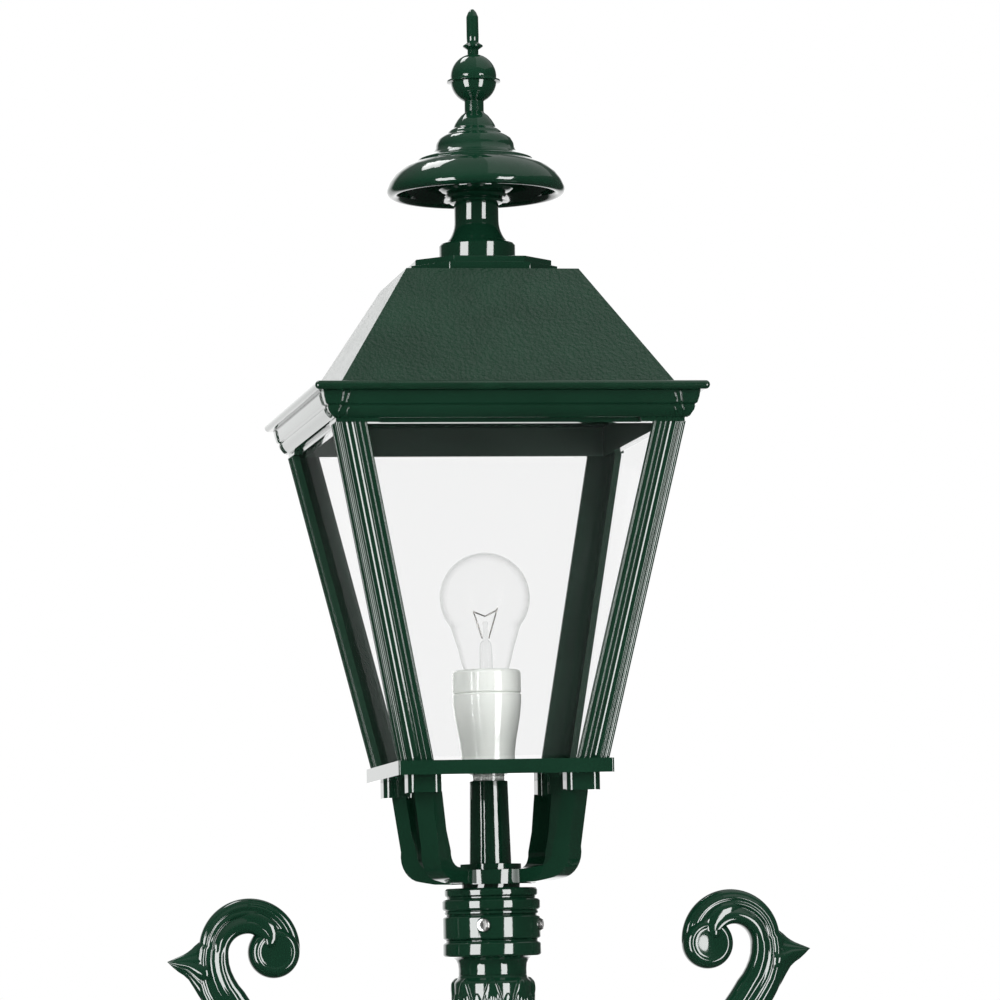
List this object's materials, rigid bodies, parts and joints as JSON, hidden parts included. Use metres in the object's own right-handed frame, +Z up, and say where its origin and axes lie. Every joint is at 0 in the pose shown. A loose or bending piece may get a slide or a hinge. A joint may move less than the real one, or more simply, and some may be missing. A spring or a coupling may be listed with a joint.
{
  "type": "street lamp post",
  "caption": "Dark green lamp post: square tapered glass lantern with hinged roof and smoke hood on a leaf capital, two scroll brackets, fluted shaft, pedestal with a service door.",
  "frame": {"origin": "centre of the base plate's underside, on the ground", "axes": "+Z up the post, front (door and one lantern face) towards -Y, scroll brackets along X"},
  "size_m": [0.4278, 0.2641, 2.479],
  "materials": {
    "green_gloss": "dark fir-green gloss powder coat",
    "green_roof": "dark fir-green powder coat with fine orange peel",
    "galvanised": "hot-dip galvanised",
    "stainless": "stainless steel",
    "zinc_steel": "zinc-plated steel",
    "brass": "turned brass",
    "porcelain": "glazed white porcelain",
    "terminal_white": "moulded thermoset",
    "black_plastic": "moulded polyamide",
    "clear_cover": "clear smoked polycarbonate",
    "cable_black": "rubber cable sheath",
    "pane_glass": "clear float glass",
    "bulb_glass": "clear blown glass",
    "bulb_cap": "rolled aluminium cap",
    "tungsten": "drawn tungsten wire"
  },
  "bodies": {
    "post": {"base_plate": "green_gloss", "pedestal": "green_gloss", "core_tube": "galvanised", "door_hinge_pins": "stainless", "tube_clamp": "galvanised", "fuse_base": "black_plastic", "fuse_cover": "clear_cover", "terminal_block": "terminal_white", "cable_glands": "black_plastic", "earth_stud": "brass", "lamp_cable": "cable_black", "cable_coupler": "black_plastic", "foot_ring": "green_gloss", "lower_shaft": "green_gloss", "middle_ring": "green_gloss", "upper_shaft": "green_gloss", "arm_hub": "green_gloss", "scroll_arm_left": "green_gloss", "scroll_arm_right": "green_gloss", "arm_bolts": "stainless", "capital": "green_gloss", "post_neck": "green_gloss"},
    "lantern": {"collar": "green_gloss", "collar_screws": "stainless", "cradle": "green_gloss", "riser_tube": "green_gloss", "riser_washer": "porcelain", "hollow_stud": "zinc_steel", "stud_nuts": "zinc_steel", "tray": "green_gloss", "frame_screws": "stainless", "corner_post_front_left": "green_gloss", "corner_post_front_right": "green_gloss", "corner_post_back_right": "green_gloss", "corner_post_back_left": "green_gloss", "glass_front": "pane_glass", "glass_right": "pane_glass", "glass_back": "pane_glass", "glass_left": "pane_glass", "cornice": "green_gloss", "lampholder_body": "porcelain", "lampholder_ring": "porcelain", "holder_shell": "brass", "holder_contact": "brass", "holder_lead": "cable_black", "bulb_cap": "bulb_cap", "bulb_glass": "bulb_glass", "bulb_stem": "bulb_glass", "filament": "tungsten", "roof_hinge_pins": "stainless"},
    "roof": {"roof_shell": "green_roof", "vent_plate": "green_gloss", "vent_screws": "stainless", "chimney_neck": "green_gloss", "tie_rod": "zinc_steel", "smoke_hood": "green_gloss", "finial_ball": "green_gloss", "finial_spike": "green_gloss"},
    "door": {"service_door": "green_gloss"},
    "lock": {"door_lock": "stainless"}
  },
  "joints": [
    {"name": "lantern_swivel", "type": "hinge", "parent": "post", "child": "lantern", "pos_m": [0, 0, 1.86], "axis": [0, 0, 1], "range_deg": [-170, 170]},
    {"name": "roof_hinge", "type": "hinge", "parent": "lantern", "child": "roof", "pos_m": [0, 0.1325, 2.2098], "axis": [-1, 0, 0], "range_deg": [0, 100]},
    {"name": "service_door_hinge", "type": "hinge", "parent": "post", "child": "door", "pos_m": [-0.0525, -0.0848, 0.17], "axis": [0, 0, -1], "range_deg": [0, 110]},
    {"name": "door_lock_turn", "type": "hinge", "parent": "door", "child": "lock", "pos_m": [0.03, -0.08, 0.17], "axis": [0, -1, 0], "range_deg": [0, 90]}
  ]
}
